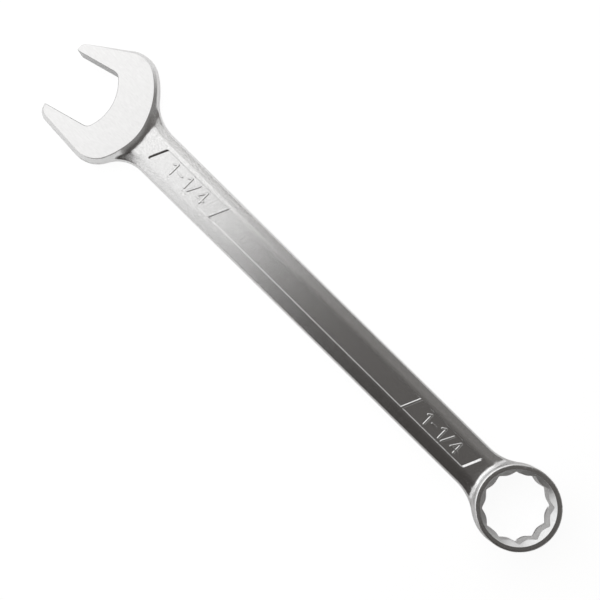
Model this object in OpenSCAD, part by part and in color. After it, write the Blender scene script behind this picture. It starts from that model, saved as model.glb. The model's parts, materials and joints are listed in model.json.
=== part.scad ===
// Combination wrench for a 1-1/4 inch hexagon: an open end and a twelve-point box end on one
// forged handle. It lies face up on the plane Z = 0, with +X from the open end to the box end.
// The real tool is a single forging, so the three sub-parts meet face to face.

/* [Fastener] */
// Width across the flats of the hexagon that both ends fit
across_flats = 31.75; // [26:0.05:33]
// Play between the hexagon and the tool
clearance = 0.2; // [0.05:0.05:0.4]
// Distance from the open end's hexagon centre to the box end's centre
centre_distance = 312; // [250:1:400]

/* [Open end] */
// Thickness between the two ground faces
head_t = 13; // [11:0.5:16]
// Angle that the mouth is turned from the handle
mouth_angle = 15; // [10:1:20]
// Radius of the ground face behind the hexagon
head_r = 38.2; // [37:0.2:40]
// Radius of each shoulder of the ground face
shoulder_r = 13.2; // [12:0.2:14]
// Distance from the hexagon centre to the jaw tips, towards the mouth
jaw_reach = 10.8; // [9:0.2:16]
// Radius on the outer corner of each jaw tip
tip_r = 4.2; // [3:0.2:5]
// Distance from the hexagon centre to the back of the throat
throat_depth = 18.8; // [18.8:0.1:21]
// Radius of the throat's shallow arc
throat_r = 25.6; // [22:0.2:32]
// Fillet between the throat and each jaw flat
throat_fillet = 4; // [2:0.5:5]
// How far the rim stands out from the ground face on the upper and on the lower side
rim = [2.3, 1.9]; // [1:0.1:4]
// How far the rim stands out at the two jaw tips, the upper one first
tip_rim = [0.4, 2]; // [0.2:0.1:2.4]
// Thickness of the rim
rim_t = 8.4; // [6:0.2:9]

/* [Handle] */
// Width of the handle
shank_w = 24.4; // [20:0.2:28]
// Thickness of the handle at its flat middle
shank_t = 9; // [7:0.2:9.4]
// Thickness of the handle at its outer edges
edge_t = 4.4; // [3:0.2:6]
// Width of the flat along the middle of the handle
flat_w = 13; // [12:0.2:14]
// Radii of the hollow curves where the handle grows into the open end, one for each side
neck_open_r = [24, 17.5]; // [14:0.5:28]
// Radius of the hollow curves where the handle grows into the box end
neck_box_r = 28; // [20:0.5:36]

/* [Sunk panels] */
// Width of the sunk panels
panel_w = 10.6; // [8:0.2:11]
// Depth of the sunk panels
panel_depth = 0.5; // [0.2:0.1:0.8]
// Width of each slanted bar across the panels
bar_w = 1.6; // [0.6:0.1:2]
// Lean of the bars from square across the handle
bar_lean = 24; // [0:1:35]

/* [Box end] */
// Outer radius of the ring
ring_r = 22.2; // [22:0.1:26]
// Height of the ring along its bore
ring_h = 17.5; // [15:0.5:20]
// Angle that the ring is bent up from the handle
ring_tilt = 5.5; // [4:0.5:15]
// Radius of the rounding on the ring's two outer edges
ring_edge = 2; // [1:0.1:2.6]
// Radius of the cone that leads into the bore, at the ring's face
lead_r = 19.4; // [19:0.1:19.9]
// Depth of the lead-in cone
lead_h = 2.6; // [1.5:0.1:4]

/* [Hidden] */
$fn = 96;
past = 1;
fit_af = across_flats + clearance;
half_gap = fit_af / 2;

// Heights: both ends rest on Z = 0, so the handle's middle plane is half a head up.
mid_z = head_t / 2;
ring_foot_r = ring_r - ring_edge;
ring_foot_h = ring_h / 2 - ring_edge;
ring_z = ring_foot_h * cos(ring_tilt) + ring_foot_r * sin(ring_tilt) + ring_edge;

// The open end is drawn about its hexagon's centre, with the handle along +X, and then turned.
// Its centre lies to one side of the handle's middle line.
head_drop = 3.9;
shoulder_turn = 41;
arc_step = 5;
shoulder = (head_r - shoulder_r) * [cos(shoulder_turn), sin(shoulder_turn)];
tip = [tip_r - jaw_reach, half_gap + 1.3];
fillet_v = half_gap - throat_fillet;
throat_centre = throat_depth - throat_r;
fillet_reach = sqrt(pow(throat_r - throat_fillet, 2) - fillet_v * fillet_v);
fillet_u = throat_centre + fillet_reach;
fillet_end = [throat_centre, 0] + [fillet_reach, fillet_v] * throat_r / (throat_r - throat_fillet);

// Each hollow neck curve touches the handle's side and runs a little way into the round end that it
// grows into, by neck_bite.
half_w = shank_w / 2;
flank_w = (shank_w - flat_w) / 2;
rim_r = [head_r + rim[0], head_r + rim[1]];
neck_bite = 0.5;
open_touch_r = [rim_r[0] - neck_bite, rim_r[1] - neck_bite];
box_touch_r = ring_r - neck_bite;
open_necks = [
    for (i = [0, 1])
        let (side = 1 - 2 * i, r = neck_open_r[i], y = side * (half_w + r) + head_drop)
            [sqrt(pow(open_touch_r[i] + r, 2) - y * y), y - head_drop, r]
];
box_neck_y = half_w + neck_box_r;
box_neck_x = centre_distance - sqrt(pow(box_touch_r + neck_box_r, 2) - box_neck_y * box_neck_y);
box_necks = [for (side = [1, -1]) [box_neck_x, side * box_neck_y, neck_box_r]];

// Where the three sub-parts meet.
cut_open = rim_r[0] + 1;
cut_box = centre_distance - ring_r - 4.5;

// Distances of the four slanted bars from the hexagon centre.
bar_x = [52, 95.7, 236.3, 280.5];

// The object's box, which puts the origin at the middle of its foot.
low_x = (tip_r - jaw_reach) * cos(mouth_angle) - tip[1] * sin(mouth_angle) - tip_r - tip_rim[0];
high_x = centre_distance + ring_foot_r * cos(ring_tilt) + ring_foot_h * sin(ring_tilt) + ring_edge;
high_y = (head_r - shoulder_r) * sin(shoulder_turn + mouth_angle) + shoulder_r + rim[0];
low_y = (head_r - shoulder_r) * sin(mouth_angle - shoulder_turn) - shoulder_r - rim[1];
origin = [(low_x + high_x) / 2, (low_y + high_y) / 2 - head_drop];

function on_circle(centre, r, angle) = centre + r * [cos(angle), sin(angle)];
function flip(p) = [p[0], -p[1]];
function arc(centre, r, from, to) =
    let (steps = ceil(abs(to - from) / arc_step))
    [for (i = [0 : steps]) on_circle(centre, r, from + (to - from) * i / steps)];

// Where a line touches circle a, when it runs from circle a to circle b along their right side.
function touch_angle(a, ra, b, rb) =
    atan2(b[1] - a[1], b[0] - a[0]) - acos((ra - rb) / norm(b - a));

// The point where a neck curve touches the round end of radius r about the centre c.
function neck_touch(neck, c, r) = c + ([neck[0], neck[1]] - c) * r / (r + neck[2]);

module place() { translate([-origin[0], -origin[1], 0]) children(); }
module head_frame() { translate([0, -head_drop, 0]) rotate(mouth_angle) children(); }
module ring_frame() { translate([centre_distance, 0, ring_z]) rotate([0, -ring_tilt, 0]) children(); }

// The crescent outline of the head, from straight behind the hexagon round to a jaw tip and the
// mouth, grown outwards by a rim that narrows or widens towards the tip.
function half_head(grow, at_tip) =
    let (rs = shoulder_r + grow, rt = tip_r + at_tip,
         side = touch_angle(shoulder, rs, tip, rt))
    concat(arc([0, 0], head_r + grow, 0, shoulder_turn),
           arc(shoulder, rs, shoulder_turn + arc_step / 2, side),
           arc(tip, rt, side, 180),
           [[tip[0] - rt, 0]]);

module head_outline(grow, at_tips) {
    upper = half_head(grow[0], at_tips[0]);
    lower = half_head(grow[1], at_tips[1]);
    last = len(lower) - 1;
    polygon(concat(upper, [for (i = [last : -1 : 1]) flip(lower[i])]));
}

// The mouth and throat: two flats, a shallow arc behind them and a fillet in each corner.
module mouth() {
    translate([-2 * jaw_reach, -half_gap]) square([2 * jaw_reach + fillet_u, fit_af]);
    for (side = [-1, 1]) translate([fillet_u, side * fillet_v]) circle(throat_fillet);
    polygon([[0, -half_gap], [fillet_u, -half_gap], flip(fillet_end),
             fillet_end, [fillet_u, half_gap], [0, half_gap]]);
    intersection() {
        translate([throat_centre, 0]) circle(throat_r);
        translate([0, -fillet_end[1]]) square([throat_depth + past, 2 * fillet_end[1]]);
    }
}

// Plan of the handle, from inside the open end to inside the ring.
module handle_plan() {
    open_touch = [for (i = [0, 1]) neck_touch(open_necks[i], [0, -head_drop], open_touch_r[i])];
    box_touch = [for (neck = box_necks) neck_touch(neck, [centre_distance, 0], box_touch_r)];
    difference() {
        polygon([[0, -head_drop], open_touch[0], [open_necks[0][0], half_w],
                 [box_neck_x, half_w], box_touch[0], [centre_distance, 0],
                 box_touch[1], [box_neck_x, -half_w],
                 [open_necks[1][0], -half_w], open_touch[1]]);
        for (neck = concat(open_necks, box_necks)) translate([neck[0], neck[1]]) circle(neck[2]);
    }
}

// What the sloping flank takes off: a section from the edge of the flat out past the side.
module flank_section(edge) {
    for (side = [0, 1]) mirror([0, side])
        polygon([[edge + flank_w, shank_t / 2], [edge, edge_t / 2], [edge - past, edge_t / 2],
                 [edge - past, head_t], [edge + flank_w, head_t]]);
}

module flanks() {
    for (side = [0, 1]) mirror([0, side, 0])
        translate([open_necks[side][0], half_w, 0]) rotate([90, 0, 90])
            linear_extrude(box_neck_x - open_necks[side][0])
                mirror([1, 0]) flank_section(0);
    for (neck = concat(open_necks, box_necks)) translate([neck[0], neck[1], 0])
        rotate_extrude() flank_section(neck[2]);
}

module sunk_panel(from, to) {
    lean = panel_w / 2 * tan(bar_lean);
    start = from + bar_w / 2;
    end = to - bar_w / 2;
    polygon([[start - lean, -panel_w / 2], [end - lean, -panel_w / 2],
             [end + lean, panel_w / 2], [start + lean, panel_w / 2]]);
}

module handle_solid() {
    translate([0, 0, mid_z]) difference() {
        linear_extrude(shank_t, center = true) handle_plan();
        flanks();
        for (side = [0, 1]) mirror([0, 0, side])
            translate([0, 0, shank_t / 2 - panel_depth]) linear_extrude(panel_depth + past)
                for (i = [0 : len(bar_x) - 2]) sunk_panel(bar_x[i], bar_x[i + 1]);
    }
}

module between(from, to) {
    intersection() {
        children();
        translate([from, -head_r, -past]) cube([to - from, 2 * head_r, 3 * ring_h]);
    }
}

// The twelve-point bore: two hexagons, with a cone leading in from each face. The cone meets the
// twelve inner edges at its stated depth, and runs on a little way into the open bore.
module box_bore() {
    corner_r = half_gap / cos(30);
    point_r = half_gap / cos(15);
    slope = (lead_r - point_r) / lead_h;
    for (turn = [15, 45]) rotate(turn)
        cylinder(h = 2 * ring_h, r = corner_r, center = true, $fn = 6);
    for (side = [0, 1]) mirror([0, 0, side]) rotate(7) translate([0, 0, ring_h / 2 - lead_h - past])
        cylinder(h = lead_h + 2 * past, r1 = point_r - slope * past, r2 = lead_r + slope * past);
}

module ring_solid() {
    rotate_extrude() for (side = [0, 1]) mirror([0, side]) {
        square([ring_foot_r, ring_h / 2]);
        square([ring_r, ring_foot_h]);
        translate([ring_foot_r, ring_foot_h]) circle(ring_edge);
    }
}

module open_end() {
    color("gainsboro") place() difference() {
        union() {
            head_frame() linear_extrude(head_t) head_outline([0, 0], [0, 0]);
            translate([0, 0, mid_z - rim_t / 2]) head_frame() linear_extrude(rim_t)
                head_outline(rim, tip_rim);
            between(0, cut_open) handle_solid();
        }
        head_frame() translate([0, 0, -past]) linear_extrude(head_t + 2 * past) mouth();
    }
}

module shank() {
    color("silver") place() between(cut_open, cut_box) handle_solid();
}

module box_end() {
    color("darkgray") place() difference() {
        union() {
            ring_frame() ring_solid();
            between(cut_box, centre_distance) handle_solid();
        }
        ring_frame() box_bore();
    }
}

open_end();
shank();
box_end();
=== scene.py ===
"""Looks for a 1-1/4 inch combination wrench: one satin-chrome forging.

The forging is described once, as a signed distance in millimetres, in the drawing's own frame: X runs
from the open end's hexagon centre along the handle, Y is measured from the handle's middle line, and
Z is the height above the plane that the wrench lies on. The mesh is skinned from that distance, its
points are moved onto the exact surface, and what is machined or sunk is cut with booleans: the ground
faces, the mouth, the bore, and the panels with their raised figures.
"""

import json
import math

import bpy
import numpy as np
import openvdb
from mathutils import Matrix, Vector


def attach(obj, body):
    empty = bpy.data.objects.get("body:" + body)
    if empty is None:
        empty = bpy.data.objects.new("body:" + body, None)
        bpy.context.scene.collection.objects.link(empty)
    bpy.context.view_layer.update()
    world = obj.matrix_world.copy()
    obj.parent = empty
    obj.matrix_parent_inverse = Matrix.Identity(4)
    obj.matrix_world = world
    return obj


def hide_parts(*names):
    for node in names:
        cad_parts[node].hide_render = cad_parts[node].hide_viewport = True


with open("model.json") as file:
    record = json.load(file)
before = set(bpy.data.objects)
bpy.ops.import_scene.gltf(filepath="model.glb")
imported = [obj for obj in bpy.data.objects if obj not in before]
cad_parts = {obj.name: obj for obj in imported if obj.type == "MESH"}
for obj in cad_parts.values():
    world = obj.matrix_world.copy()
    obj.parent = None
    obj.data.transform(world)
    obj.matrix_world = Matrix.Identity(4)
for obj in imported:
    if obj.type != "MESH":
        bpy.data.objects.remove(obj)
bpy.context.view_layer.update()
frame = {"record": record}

MM = 0.001
mounts = {m["name"]: m for m in frame["record"]["mounts"]}

# ---------------------------------------------------------------- dimensions, in mm
CENTRE_DISTANCE = 312.0
# Half of the distance between the jaw flats, which is also the bore's.
HALF_GAP = 15.975
# The handle: half of its thickness in the middle and at its edges, of its width, and of its flat face's.
HALF_T, EDGE_HALF = 4.5, 2.2
HALF_W, FLAT_HALF = 12.2, 6.5
MID_Z = 6.5
# The open end: its ground face is three arcs on each side, about the hexagon's centre, the shoulder and
# the jaw's tip. The forging's rim stands out past that face, on the +Y side and on the -Y side.
HEAD_HALF = 6.5
GRINDING = 1.0
HEAD_TURN = 15.0
HEAD_DROP = 3.9
HEAD_R, SHOULDER_R, TIP_R = 38.2, 13.2, 4.2
SHOULDER_TURN = 41.0
JAW_REACH = 10.8
TIP = (TIP_R - JAW_REACH, HALF_GAP + 1.3)
RIM = {1: 2.3, -1: 1.9}
TIP_RIM = {1: 0.4, -1: 2.0}
# The mouth, and the small rounds at the jaws' tips.
THROAT_DEPTH, THROAT_R, THROAT_FILLET = 18.8, 25.6, 4.0
TIP_ROUND = 1.4
CHAMFER = 0.3
OVERCUT = 0.9
# The necks, where the handle widens into each end.
NECK_OPEN_R = (24.0, 17.5)
NECK_BOX_R = 28.0
# The ring, its twelve points and its lead-in cones.
RING_R, RING_HALF, RING_EDGE = 22.2, 8.75, 0.8
RING_TILT = math.radians(5.5)
RING_FOOT_R, RING_FOOT_H = RING_R - RING_EDGE, RING_HALF - RING_EDGE
RING_Z = mounts["box_socket"]["pos_m"][2] / MM
POINT_R, LOBE_R = 0.8, 7.0
LEAD_R, LEAD_H = 19.4, 2.6
# Roundings where surfaces of the forging run into each other.
FLAT_ROUND, SHELL_ROUND, RING_FILLET, RING_EDGE_FILLET = 0.45, 1.0, 2.8, 0.5
# The parting band stands proud of the forging's sides, and fades out over its last stretch.
PARTING_RISE, PARTING_HALF, PARTING_FADE = 0.2, 1.3, 0.5
# The wall under the head's ground face: steep, with a 45 degree edge, and 45 degrees all the way down
# where it faces the shoulder.
WALL_LEAN = math.radians(24.0)
WALL_EDGE, WALL_ROUND = 0.6, 0.3
SHOULDER = (math.cos(math.radians(40.0)), math.sin(math.radians(40.0)))
SHOULDER_COS, SHOULDER_FADE = 0.86, 0.08
# The fillet at the wall's foot: small on the rim, large where the handle's face runs into the head.
FOOT_FILLET, FOOT_GROWTH, FOOT_START, FOOT_RUN = 0.8, 2.4, 2.4, 2.5
# The sunk panels. Their ends and the two bars across them slant, and lie at these places along X.
PANEL_Y = (-5.2, 5.4)
PANEL_DEPTH = 0.5
PANEL_ROUND = 0.4
STROKE_W, BAR_W = 1.4, 1.7
BAR_LEAN = math.tan(math.radians(24.0))
BAR_X = (52.0, 95.7, 236.3, 280.5)

VOXEL = 0.42

# The drawing's origin in the row frame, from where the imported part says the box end's centre is.
SHIFT = np.array(mounts["box_socket"]["pos_m"]) / MM - (CENTRE_DISTANCE, 0.0, 0.0)
SHIFT[2] = 0.0


# ---------------------------------------------------------------- plan outlines
class Outline:
    """A closed smooth outline of lines and arcs, run anticlockwise. distance() is negative inside."""

    def __init__(self):
        self.lines, self.arcs = [], []

    def line(self, p, q):
        self.lines.append((np.array(p, float), np.array(q, float)))

    def arc(self, centre, r, start, end):
        """From start to end, in degrees. A clockwise arc is hollow: the inside is outside its circle."""
        middle = math.radians((start + end) / 2)
        self.arcs.append((centre, r, (math.cos(middle), math.sin(middle)),
                          math.cos(math.radians(abs(end - start) / 2)), 1 if end > start else -1,
                          on_circle(centre, r, start), on_circle(centre, r, end)))

    def distance(self, x, y):
        best = np.full(np.broadcast(x, y).shape, 1e9)
        signed = best.copy()

        def keep(d):
            nearer = np.abs(d) < best
            best[nearer] = np.abs(d)[nearer]
            signed[nearer] = d[nearer]

        for p, q in self.lines:
            run = q - p
            length = math.hypot(*run)
            ux, uy = run / length
            along = np.clip((x - p[0]) * ux + (y - p[1]) * uy, 0, length)
            ex, ey = x - p[0] - along * ux, y - p[1] - along * uy
            side = np.where(ex * uy - ey * ux >= 0, 1.0, -1.0)
            keep(np.sqrt(ex * ex + ey * ey) * side)
        for c, r, (mx, my), reach, sign, a, b in self.arcs:
            ex, ey = x - c[0], y - c[1]
            rho = np.sqrt(ex * ex + ey * ey) + 1e-9
            on = ex * mx + ey * my >= reach * rho
            ends = np.minimum(np.hypot(x - a[0], y - a[1]), np.hypot(x - b[0], y - b[1]))
            away = np.where(on, np.abs(rho - r), ends)
            keep(np.where(rho >= r, sign, -sign) * away)
        return signed


def on_circle(c, r, degrees):
    a = math.radians(degrees)
    return (c[0] + r * math.cos(a), c[1] + r * math.sin(a))


def direction(p, q):
    return math.degrees(math.atan2(q[1] - p[1], q[0] - p[0]))


def touch_angle(a, ra, b, rb):
    """Where a line touches circle a, when it runs from circle a to circle b along their right side."""
    gap = math.hypot(b[0] - a[0], b[1] - a[1])
    return direction(a, b) - math.degrees(math.acos((ra - rb) / gap))


def turned(p):
    """From the head's own frame, whose X runs out of the mouth's back, to the drawing's."""
    a = math.radians(HEAD_TURN)
    return (p[0] * math.cos(a) - p[1] * math.sin(a), p[0] * math.sin(a) + p[1] * math.cos(a) - HEAD_DROP)


def half_head(outline, side, grow, at_tip, start):
    """One half of the head, from the angle start behind the hexagon round to the jaw tip and the mouth."""
    shoulder = on_circle((0, 0), HEAD_R - SHOULDER_R, SHOULDER_TURN)
    rs, rt = SHOULDER_R + grow, TIP_R + at_tip
    touch = touch_angle(shoulder, rs, TIP, rt)
    steps = [(shoulder, rs, max(start, SHOULDER_TURN), touch), (TIP, rt, touch, 180.0)]
    if start < SHOULDER_TURN:
        steps.insert(0, ((0, 0), HEAD_R + grow, start, SHOULDER_TURN))
    for c, r, a, b in steps:
        if side < 0:
            c, a, b = (c[0], -c[1]), -b, -a
        outline.arc(turned(c), r, a + HEAD_TURN, b + HEAD_TURN)
    straight = [(on_circle(shoulder, rs, touch), on_circle(TIP, rt, touch)),
                (on_circle(TIP, rt, 180.0), (TIP[0] - rt, 0))]
    for p, q in straight:
        if side < 0:
            p, q = (q[0], -q[1]), (p[0], -p[1])
        outline.line(turned(p), turned(q))


def neck(centre_x, centre_y, r, side, neck_r):
    """Centre of the hollow curve that touches the handle's side and the circle of radius r."""
    y = side * (HALF_W + neck_r)
    dx = math.sqrt((r + neck_r) ** 2 - (y - centre_y) ** 2)
    return (centre_x + dx, y) if centre_x == 0 else (centre_x - dx, y)


def joint_outline():
    """Plan of the handle with its necks and the head's rim, in one closed run."""
    o = Outline()
    n, ring = (0.0, -HEAD_DROP), (CENTRE_DISTANCE, 0.0)
    rim = {side: HEAD_R + RIM[side] for side in (1, -1)}
    up, down = (neck(0.0, -HEAD_DROP, rim[s], s, NECK_OPEN_R[i]) for i, s in enumerate((1, -1)))
    far_up, far_down = (neck(CENTRE_DISTANCE, 0.0, RING_R, s, NECK_BOX_R) for s in (1, -1))
    r_up, r_down = NECK_OPEN_R
    at_up, at_down = direction(n, up), direction(n, down)
    to_down, to_up = direction(far_down, ring), direction(far_up, ring)
    # lower side, from the head to the ring
    o.arc(down, r_down, 180.0 + at_down, 90.0)
    o.line((down[0], -HALF_W), (far_down[0], -HALF_W))
    o.arc(far_down, NECK_BOX_R, 90.0, to_down)
    o.arc(ring, RING_R, to_down - 180.0, to_up + 180.0)
    # upper side, back to the head
    o.arc(far_up, NECK_BOX_R, to_up, -90.0)
    o.line((far_up[0], HALF_W), (up[0], HALF_W))
    o.arc(up, r_up, -90.0, at_up - 180.0)
    half_head(o, 1, RIM[1], TIP_RIM[1], at_up - HEAD_TURN)
    half_head(o, -1, RIM[-1], TIP_RIM[-1], HEAD_TURN - at_down)
    return o


def head_outline():
    o = Outline()
    for side in (1, -1):
        half_head(o, side, 0.0, 0.0, 0.0)
    return o


JOINT, HEAD = joint_outline(), head_outline()


# ---------------------------------------------------------------- the solid
def join(a, b, r):
    """Union with a fillet of radius r."""
    return np.maximum(r, np.minimum(a, b)) - np.hypot(np.maximum(r - a, 0), np.maximum(r - b, 0))


def meet(a, b, r):
    """Intersection with a rounded edge of radius r."""
    return -join(-a, -b, r)


FLANK = (HALF_T - EDGE_HALF) / (HALF_W - FLAT_HALF)
FLANK_COS = math.cos(math.atan(FLANK))
AXIS = (-math.sin(RING_TILT), math.cos(RING_TILT))


def ring_distance(x, y, z):
    """The ring without its bore."""
    dx, dz = x - CENTRE_DISTANCE, z - RING_Z
    h = np.abs(dx * AXIS[0] + dz * AXIS[1])
    u = dx * AXIS[1] - dz * AXIS[0]
    a, b = np.sqrt(u * u + y * y) - RING_FOOT_R, h - RING_FOOT_H
    return np.hypot(np.maximum(a, 0), np.maximum(b, 0)) + np.minimum(np.maximum(a, b), 0) - RING_EDGE


# Past these places along X, the ring or the head shapes the forging too.
RING_ZONE = CENTRE_DISTANCE - RING_R - 14
HEAD_ZONE = 64.0


def forging(x, y, z, near_ring):
    """Signed distance to the forging, before its mouth, bore, ground faces and panels are cut."""
    side = JOINT.distance(x, y)
    a = np.abs(z - MID_Z)
    shell = side - PARTING_RISE * np.clip((PARTING_HALF - a) / PARTING_FADE, 0, 1)
    top = meet(a - HALF_T, (a - EDGE_HALF + FLANK * side) * FLANK_COS, FLAT_ROUND)
    if near_ring:
        solid = ring_distance(x, y, z)
        return join(meet(join(top, solid, RING_FILLET), shell, SHELL_ROUND), solid, RING_EDGE_FILLET)
    if np.min(x) < HEAD_ZONE:
        out, drop = HEAD.distance(x, y), HEAD_HALF - a
        away = np.maximum(np.hypot(x, y + HEAD_DROP), 1.0)
        around = (x * SHOULDER[0] + (y + HEAD_DROP) * SHOULDER[1]) / away
        steep = math.tan(WALL_LEAN)
        slant = steep + (1 - steep) * np.clip((around - SHOULDER_COS) / SHOULDER_FADE, 0, 1)
        wall = (out - WALL_EDGE * (1 - slant) - drop * slant) / np.sqrt(1 + slant * slant)
        wall = meet(wall, (out - drop) * math.sqrt(0.5), WALL_ROUND)
        fillet = FOOT_FILLET + FOOT_GROWTH * np.clip((-FOOT_START - side) / FOOT_RUN, 0, 1)
        top = meet(join(top, wall, fillet), a - HEAD_HALF - GRINDING, WALL_ROUND)
    return meet(top, shell, SHELL_ROUND)


def zones(x):
    """Masks of the ring's zone, the head's and the handle's, each with whether the ring is near."""
    return ((x > RING_ZONE, True), (x < HEAD_ZONE, False), ((x >= HEAD_ZONE) & (x <= RING_ZONE), False))


def forging_at(points):
    f = np.empty(len(points))
    for part, near in zones(points[:, 0]):
        if part.any():
            p = points[part]
            f[part] = forging(p[:, 0], p[:, 1], p[:, 2], near)
    return f


def slope_at(points, e=0.02):
    g = np.empty_like(points)
    for k in range(3):
        step = np.zeros(3)
        step[k] = e
        g[:, k] = (forging_at(points + step) - forging_at(points - step)) / (2 * e)
    return g


def skin():
    """The forging's mesh: points in mm and faces."""
    lo = np.array([-20.0, -36.0, -3.0])
    hi = np.array([342.0, 36.0, 28.0])
    xs, ys, zs = (np.arange(lo[k], hi[k], VOXEL) for k in range(3))
    field = np.empty((len(xs), len(ys), len(zs)), np.float32)
    y, z = ys[None, :, None], zs[None, None, :]
    for part, near in zones(xs):
        index = np.nonzero(part)[0]
        for chunk in np.array_split(index, max(1, len(index) // 60)):
            field[chunk] = forging(xs[chunk][:, None, None], y, z, near)
    band = 3 * VOXEL
    grid = openvdb.FloatGrid(band)
    grid.copyFromArray(np.clip(field, -band, band))
    points, triangles, quads = grid.convertToPolygons(0.0, 0.02)
    points = points.astype(float) * VOXEL + lo
    for _ in range(4):
        f = forging_at(points)
        g = slope_at(points)
        move = f[:, None] * g / np.maximum((g * g).sum(1), 0.2)[:, None]
        far = np.linalg.norm(move, axis=1)
        points = points - move * np.minimum(1, VOXEL / np.maximum(far, 1e-9))[:, None]
    faces = [tuple(f) for f in triangles.tolist()] + [tuple(f) for f in quads.tolist()]
    return points, faces


# ---------------------------------------------------------------- materials
def chrome(name, color, roughness, stretch, grain, bump, spread=0.08):
    """Satin metal with a fine grain of tone and height.

    The grain has this many waves per metre, times stretch along X, Y and Z. The spread is how far the
    grain moves the colour, as a share of it.
    """
    mat = bpy.data.materials.new(name)
    mat.use_nodes = True
    nodes, links = mat.node_tree.nodes, mat.node_tree.links
    metal = nodes["Principled BSDF"]
    metal.inputs["Metallic"].default_value = 1.0
    place = nodes.new("ShaderNodeTexCoord")
    mapping = nodes.new("ShaderNodeMapping")
    mapping.inputs["Scale"].default_value = stretch
    mapping.inputs["Rotation"].default_value = (0, 0, -math.radians(HEAD_TURN))
    links.new(place.outputs["Object"], mapping.inputs["Vector"])
    fine = nodes.new("ShaderNodeTexNoise")
    fine.inputs["Scale"].default_value = grain
    fine.inputs["Detail"].default_value = 4.0
    links.new(mapping.outputs["Vector"], fine.inputs["Vector"])
    speckle = nodes.new("ShaderNodeMapRange")
    speckle.inputs["From Min"].default_value = 0.3
    speckle.inputs["From Max"].default_value = 0.7
    speckle.inputs["To Min"].default_value = 1 - spread
    speckle.inputs["To Max"].default_value = 1 + spread
    links.new(fine.outputs["Fac"], speckle.inputs["Value"])
    tone = nodes.new("ShaderNodeVectorMath")
    tone.operation = "SCALE"
    tone.inputs[0].default_value = color
    links.new(speckle.outputs["Result"], tone.inputs["Scale"])
    links.new(tone.outputs["Vector"], metal.inputs["Base Color"])
    metal.inputs["Roughness"].default_value = roughness
    bumps = nodes.new("ShaderNodeBump")
    bumps.inputs["Strength"].default_value = bump
    bumps.inputs["Distance"].default_value = 0.0001
    links.new(fine.outputs["Fac"], bumps.inputs["Height"])
    links.new(bumps.outputs["Normal"], metal.inputs["Normal"])
    return mat


FORGED, GROUND, BROACHED, MILLED_PAINTED_SHADE = range(4)
surfaces = [
    chrome("satin_chrome", (0.74, 0.74, 0.74), 0.235, (1, 1, 1), 1700.0, 0.5, 0.12),
    chrome("ground_chrome", (0.80, 0.80, 0.80), 0.34, (1, 12, 1), 500.0, 0.16),
    chrome("broached_chrome", (0.74, 0.74, 0.74), 0.26, (1, 1, 0.06), 2400.0, 0.20),
    # The mouth's milled chrome is rougher than the forging. Its colour is darkened to 0.46, a painted shade
    # for the shadow that falls inside the mouth.
    chrome("milled_chrome_painted_shade", (0.46, 0.46, 0.46), 0.34, (1, 1, 0.06), 2400.0, 0.20)]


# ---------------------------------------------------------------- meshes and cuts
def mesh_object(name, points, faces, surface=FORGED):
    mesh = bpy.data.meshes.new(name)
    mesh.from_pydata([tuple(p) for p in points], [], faces)
    mesh.validate()
    for material in surfaces:
        mesh.materials.append(material)
    mesh.polygons.foreach_set("material_index", np.full(len(mesh.polygons), surface))
    obj = bpy.data.objects.new(name, mesh)
    bpy.context.scene.collection.objects.link(obj)
    return obj


def cut(obj, other):
    """Cut the other object out of obj, and remove it."""
    modifier = obj.modifiers.new("cut", "BOOLEAN")
    modifier.operation, modifier.object, modifier.solver = "DIFFERENCE", other, "MANIFOLD"
    result = bpy.data.meshes.new_from_object(obj.evaluated_get(bpy.context.evaluated_depsgraph_get()))
    obj.modifiers.remove(modifier)
    old, obj.data = obj.data, result
    bpy.data.meshes.remove(old)
    bpy.data.objects.remove(other)


def stack(name, rings, surface=FORGED):
    """A closed solid through rings of equally many points, each a list of (x, y) with one height."""
    n = len(rings[0][0])
    points = [(x, y, z) for ring, z in rings for x, y in ring]
    faces = [tuple(reversed(range(n))), tuple(range(len(points) - n, len(points)))]
    for k in range(len(rings) - 1):
        for i in range(n):
            j = (i + 1) % n
            faces.append((k * n + i, k * n + j, (k + 1) * n + j, (k + 1) * n + i))
    return mesh_object(name, points, faces, surface)


# ---------------------------------------------------------------- machined mouth, bore and ground faces
def arc_points(c, r, start, end, count):
    return [on_circle(c, r, start + (end - start) * i / (count - 1)) for i in range(count)]


def mouth_ring(grow):
    """Outline of the mouth: the throat's shallow arc, two fillets, two flats and the tips' corners."""
    fillet_v = HALF_GAP - THROAT_FILLET
    cx = THROAT_DEPTH - THROAT_R
    fu = cx + math.sqrt((THROAT_R - THROAT_FILLET) ** 2 - fillet_v**2)
    lean = math.degrees(math.atan2(fillet_v, fu - cx))
    fillet, throat = THROAT_FILLET + grow, THROAT_R + grow
    half = [(cx + throat, 0.0)] + arc_points((cx, 0.0), throat, lean * 0.06, lean * 0.94, 15)
    half += arc_points((fu, fillet_v), fillet, lean, 90.0, 9)
    tips = {}
    for side in (1, -1):
        corner = (TIP_ROUND - JAW_REACH - TIP_RIM[side], HALF_GAP + TIP_ROUND)
        tips[side] = arc_points(corner, TIP_ROUND - grow, 270.0, 180.0, 8) + [(-30.0, corner[1])]
    lower = [turned((x, -y)) for x, y in reversed(half[1:] + tips[-1])]
    return lower + [turned(p) for p in half + tips[1]]


def star_ring():
    """Outline of the twelve-point bore: flats that meet in small fillets outside and round lobes inside."""
    ring = []
    outer = HALF_GAP / math.cos(math.radians(30))
    for k in range(12):
        middle = 30.0 * k
        centre = on_circle((0, 0), (HALF_GAP + LOBE_R) / math.cos(math.radians(15)), middle)
        ring += arc_points(centre, LOBE_R, middle + 195.0, middle + 165.0, 7)
        corner = on_circle((0, 0), outer - POINT_R / math.cos(math.radians(30)), middle + 15.0)
        ring += arc_points(corner, POINT_R, middle - 15.0, middle + 45.0, 5)
    return ring


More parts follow.
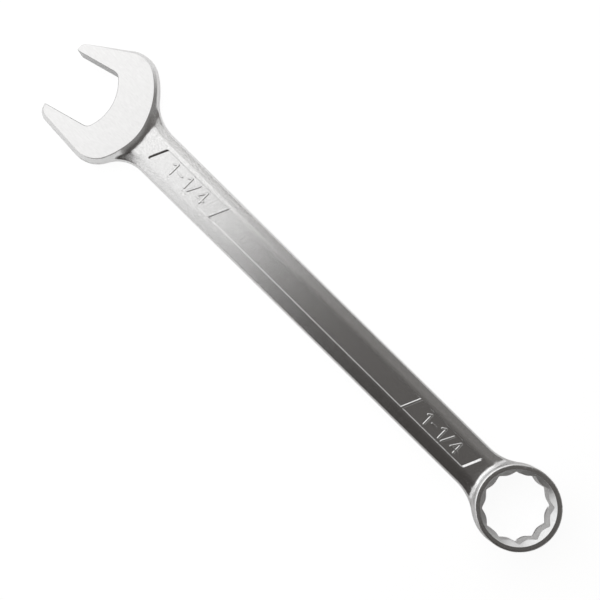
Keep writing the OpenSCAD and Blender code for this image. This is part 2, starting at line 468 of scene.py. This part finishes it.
def cut_mouth(obj):
    top = 2 * HEAD_HALF
    wide, exact = mouth_ring(OVERCUT + CHAMFER), mouth_ring(0)
    rings = [(wide, -OVERCUT), (exact, CHAMFER), (exact, top - CHAMFER), (wide, top + OVERCUT)]
    cut(obj, stack("mouth", rings, MILLED_PAINTED_SHADE))


def cut_ground_faces(obj):
    for low, high in ((-9.0, 0.0), (2 * HEAD_HALF, 2 * HEAD_HALF + 9.0)):
        block = [(-40.0, -50.0), (HEAD_ZONE, -50.0), (HEAD_ZONE, 50.0), (-40.0, 50.0)]
        cut(obj, stack("grinding", [(block, low), (block, high)], GROUND))


def cut_bore(obj):
    """Cut the bore and its cones. The cones' corners start at 1 degree, clear of the bore's own corners."""
    point_r = HALF_GAP / math.cos(math.radians(15))
    slope = (LEAD_R - point_r) / LEAD_H
    cutters = [stack("bore", [(star_ring(), -2 * RING_HALF), (star_ring(), 2 * RING_HALF)], BROACHED)]
    for side in (-1, 1):
        far, near = RING_HALF + 1.0, RING_HALF - LEAD_H - 0.5
        rings = [(arc_points((0, 0), LEAD_R + slope * (h - RING_HALF), 1.0, 357.25, 96), side * h)
                 for h in (near, far)]
        cutters.append(stack("lead_in", rings if side > 0 else rings[::-1], GROUND))
    place = Matrix.Translation((CENTRE_DISTANCE, 0, RING_Z)) @ Matrix.Rotation(-RING_TILT, 4, "Y")
    for cutter in cutters:
        cutter.data.transform(place)
        cut(obj, cutter)


# ---------------------------------------------------------------- sunk panels and raised figures
FACE_Z = MID_Z + HALF_T
FLOOR_Z = FACE_Z - PANEL_DEPTH


def ridge(p, q, width=STROKE_W, height=PANEL_DEPTH + 0.04):
    """A raised stroke with a round back and round ends, from p to q."""
    lean = math.atan2(q[1] - p[1], q[0] - p[0])
    turns = [lean + math.radians(-90 + 180 * i / 8) for i in range(9)]

    def ring(r):
        return [(q[0] + r * math.cos(t), q[1] + r * math.sin(t)) for t in turns] + \
               [(p[0] - r * math.cos(t), p[1] - r * math.sin(t)) for t in turns]

    rings = [(ring(width / 2), FLOOR_Z - 0.3), (ring(width / 2), FLOOR_Z - 0.01)]
    for t in (75, 60, 45, 30, 15, 2):
        up, out = math.cos(math.radians(t)), math.sin(math.radians(t))
        rings.append((ring(width / 2 * out), FLOOR_Z + height * up))
    return stack("ridge", rings)


def figures(x0):
    """The strokes of 1-1/4, as pairs of points and a width."""
    low, high = -3.0, 3.3
    strokes = []
    for stem in (x0 + 12.1, x0 + 22.4):
        strokes += [((stem, low), (stem, high), STROKE_W), ((stem, high), (stem - 1.9, high - 1.2), 1.3)]
    strokes.append(((x0 + 14.9, 0.2), (x0 + 17.9, 0.2), 1.2))
    strokes.append(((x0 + 24.6, low), (x0 + 27.9, high), 1.4))
    strokes.append(((x0 + 33.3, low), (x0 + 33.3, high), STROKE_W))
    strokes.append(((x0 + 33.1, high), (x0 + 29.8, -1.4), 1.3))
    strokes.append(((x0 + 29.8, -1.4), (x0 + 34.7, -1.4), 1.3))
    return strokes


def panel_ring(out, rise):
    """Outline of the recess, grown by out at the sides and by twice as much at the slanted ends."""
    y0, y1 = PANEL_Y[0] + 0.9, PANEL_Y[1] - 0.9
    ring = []
    x0, x1 = BAR_X[0] + 1.6, BAR_X[-1] - 1.6
    for x, y, start in ((x1, y1, 0), (x0, y1, 90), (x0, y0, 180), (x1, y0, 270)):
        for i in range(6):
            t = math.radians(start + 18 * i)
            edge = y + (PANEL_ROUND + out) * math.sin(t)
            ring.append((x + (0.55 + 2 * out) * math.cos(t) + edge * BAR_LEAN, edge))
    return ring, FLOOR_Z + rise


def panel_cutter():
    """What is taken out of the upper face: the recess, less its two bars and its figures."""
    cutter = stack("panel_cutter", [panel_ring(0, 0), panel_ring(0.6, PANEL_DEPTH),
                                    panel_ring(0.9, PANEL_DEPTH + 0.25)])
    for x in BAR_X[1:3]:
        y0, y1 = PANEL_Y[0] - 0.7, PANEL_Y[1] + 0.7
        cut(cutter, ridge((x + y0 * BAR_LEAN, y0), (x + y1 * BAR_LEAN, y1), BAR_W))
    for x in (BAR_X[0], BAR_X[2]):
        for p, q, width in figures(x):
            cut(cutter, ridge(p, q, width))
    return cutter


def cut_panels(obj):
    for turn in (0.0, math.pi):
        cutter = panel_cutter()
        middle = Matrix.Translation((0, 0, MID_Z))
        cutter.data.transform(middle @ Matrix.Rotation(turn, 4, "X") @ middle.inverted())
        cut(obj, cutter)


# ---------------------------------------------------------------- shading normals
def loop_arrays(mesh):
    points = np.empty(len(mesh.vertices) * 3)
    mesh.vertices.foreach_get("co", points)
    vertex = np.empty(len(mesh.loops), int)
    mesh.loops.foreach_get("vertex_index", vertex)
    size = np.empty(len(mesh.polygons), int)
    mesh.polygons.foreach_get("loop_total", size)
    normals = np.empty(len(mesh.polygons) * 3)
    mesh.polygons.foreach_get("normal", normals)
    return points.reshape(-1, 3), vertex, size, normals.reshape(-1, 3)


SHARP_ANGLE = math.radians(20.0)
ON_SURFACE, ALONG_SURFACE = 0.03, 0.92


def set_normals(mesh):
    """Shade the forging with its exact slope, and what was cut by the angle between faces.

    A corner is the forging's when its point is on the surface, and its face lies along the surface too.
    """
    mesh.polygons.foreach_set("use_smooth", np.ones(len(mesh.polygons), bool))
    mesh.set_sharp_from_angle(angle=SHARP_ANGLE)
    points, vertex, size, normals = loop_arrays(mesh)
    slope = slope_at(points)
    slope /= np.maximum(np.linalg.norm(slope, axis=1), 1e-9)[:, None]
    exact = np.abs(forging_at(points)) < ON_SURFACE
    corner = np.empty(len(vertex) * 3)
    mesh.corner_normals.foreach_get("vector", corner)
    corner = corner.reshape(-1, 3)
    face = np.repeat(normals, size, axis=0)
    use = exact[vertex] & ((slope[vertex] * face).sum(1) > ALONG_SURFACE)
    corner[use] = slope[vertex][use]
    mesh.normals_split_custom_set(corner.tolist())


# ---------------------------------------------------------------- the wrench
wrench = mesh_object("wrench_forging", *skin())
cut_ground_faces(wrench)
cut_mouth(wrench)
cut_bore(wrench)
cut_panels(wrench)
set_normals(wrench.data)
wrench.data.transform(Matrix.Scale(MM, 4) @ Matrix.Translation(Vector(SHIFT)))
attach(wrench, "root")
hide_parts("open_end", "shank", "box_end")


# ---------------------------------------------------------------- camera
cam = bpy.data.objects.new("camera", bpy.data.cameras.new("camera"))
bpy.context.scene.collection.objects.link(cam)
bpy.context.scene.camera = cam
cam.data.sensor_width = 36.0
cam.data.lens = 65.0
eye = Vector((2.5, -27.0, 570.0)) * MM
aim = Vector((-1.8, -3.3, 6.5)) * MM
back = (eye - aim).normalized()
right = Vector((0.7124, 0.7014, 0.0241))
right = (right - back * right.dot(back)).normalized()
up = back.cross(right)
cam.matrix_world = Matrix((
    (right.x, up.x, back.x, eye.x),
    (right.y, up.y, back.y, eye.y),
    (right.z, up.z, back.z, eye.z),
    (0, 0, 0, 1)))
cam.data.clip_start, cam.data.clip_end = 0.01, 50


# ---------------------------------------------------------------- floor, lights, world
def by_ray(nodes, links, output, shader, seen):
    """Show one shader to the camera and another to every other ray."""
    path = nodes.new("ShaderNodeLightPath")
    mix = nodes.new("ShaderNodeMixShader")
    links.new(path.outputs["Is Camera Ray"], mix.inputs[0])
    links.new(shader, mix.inputs[1])
    links.new(seen, mix.inputs[2])
    links.new(mix.outputs[0], output)


def blend(nodes, links, value, start, end, a, b):
    """A colour that goes from a to b as the value goes from start to end."""
    ease = nodes.new("ShaderNodeMapRange")
    ease.interpolation_type = "SMOOTHSTEP"
    ease.inputs["From Min"].default_value = start
    ease.inputs["From Max"].default_value = end
    links.new(value, ease.inputs["Value"])
    mix = nodes.new("ShaderNodeMix")
    mix.data_type = "RGBA"
    links.new(ease.outputs["Result"], mix.inputs["Factor"])
    for socket, color in (("A", a), ("B", b)):
        if isinstance(color, tuple):
            mix.inputs[socket].default_value = (*color, 1)
        else:
            links.new(color, mix.inputs[socket])
    return mix.outputs["Result"]


# The camera sees the floor and the world as pale paper. Every other ray sees a floor that dims towards the
# box end and a room with a bright side, so that the chrome has something darker to reflect. The floor lies
# 0.3 mm low, just under the ring's lower edge.
bpy.ops.mesh.primitive_plane_add(size=12, location=(0, 0, -0.0003))
floor = bpy.context.object
floor.name = "floor"
paper = bpy.data.materials.new("floor_paper")
paper.use_nodes = True
nodes, links = paper.node_tree.nodes, paper.node_tree.links
nodes.clear()
output = nodes.new("ShaderNodeOutputMaterial")
matt = nodes.new("ShaderNodeBsdfDiffuse")
matt.inputs["Color"].default_value = (0.16, 0.16, 0.16, 1)
glow = nodes.new("ShaderNodeEmission")
glow.inputs["Color"].default_value = (1, 1, 1, 1)
glow.inputs["Strength"].default_value = 0.93
lit = nodes.new("ShaderNodeAddShader")
links.new(matt.outputs[0], lit.inputs[0])
links.new(glow.outputs[0], lit.inputs[1])
dull = nodes.new("ShaderNodeEmission")
place = nodes.new("ShaderNodeTexCoord")
split = nodes.new("ShaderNodeSeparateXYZ")
links.new(place.outputs["Object"], split.inputs[0])
dimmed = blend(nodes, links, split.outputs["X"], -0.12, 0.12, (0.30, 0.30, 0.30), (0.12, 0.117, 0.115))
links.new(dimmed, dull.inputs["Color"])
near = nodes.new("ShaderNodeBsdfDiffuse")
near.inputs["Color"].default_value = (0.9, 0.9, 0.9, 1)
soft = nodes.new("ShaderNodeAddShader")
links.new(dull.outputs[0], soft.inputs[0])
links.new(near.outputs[0], soft.inputs[1])
by_ray(nodes, links, output.inputs["Surface"], soft.outputs[0], lit.outputs[0])
floor.data.materials.append(paper)


def softbox(name, location, facing, width, height, radiance):
    """A soft light that faces a point. Its brightness is the same from every side."""
    light = bpy.data.objects.new(name, bpy.data.lights.new(name, "AREA"))
    bpy.context.scene.collection.objects.link(light)
    light.data.shape = "RECTANGLE"
    light.data.size, light.data.size_y = width, height
    light.data.energy = radiance * math.pi * width * height
    light.location = location
    light.rotation_euler = (Vector(facing) - Vector(location)).to_track_quat("-Z", "Y").to_euler()
    light.visible_camera = False


softbox("softbox_jaw_side", (-0.532, 0.0, 0.62), (-0.532, 0.0, 0.0), 0.88, 1.4, 1.09)
softbox("softbox_left", (-0.52, 0.75, 0.30), (-0.52, 0.0, 0.30), 0.9, 0.56, 0.65)
softbox("softbox_right", (-0.52, -0.75, 0.30), (-0.52, 0.0, 0.30), 0.9, 0.56, 0.8)
softbox("softbox_far_side", (0.35, 0.75, 0.60), (0.35, 0.75, 0.0), 0.9, 0.5, 0.05)

scene = bpy.context.scene
scene.view_settings.view_transform = "Standard"
world = bpy.data.worlds.new("studio")
scene.world = world
world.use_nodes = True
nodes, links = world.node_tree.nodes, world.node_tree.links
nodes.clear()
output = nodes.new("ShaderNodeOutputWorld")
room = nodes.new("ShaderNodeBackground")
white = nodes.new("ShaderNodeBackground")
by_ray(nodes, links, output.inputs["Surface"], room.outputs[0], white.outputs[0])
place = nodes.new("ShaderNodeTexCoord")
split = nodes.new("ShaderNodeSeparateXYZ")
links.new(place.outputs["Generated"], split.inputs[0])
across = blend(nodes, links, split.outputs["Y"], -0.6, 0.7, (0.06, 0.055, 0.052), (0.17, 0.162, 0.155))
horizon = blend(nodes, links, split.outputs["Y"], 0.78, 0.97, (0.20, 0.195, 0.19), (0.80, 0.80, 0.80))
level = blend(nodes, links, split.outputs["Z"], 0.10, 0.34, horizon, across)
handle_side = blend(nodes, links, split.outputs["X"], 0.60, 0.92, level, (0.30, 0.295, 0.29))
along = blend(nodes, links, split.outputs["X"], -0.88, -0.68, (1.15, 1.15, 1.15), handle_side)
links.new(along, room.inputs["Color"])
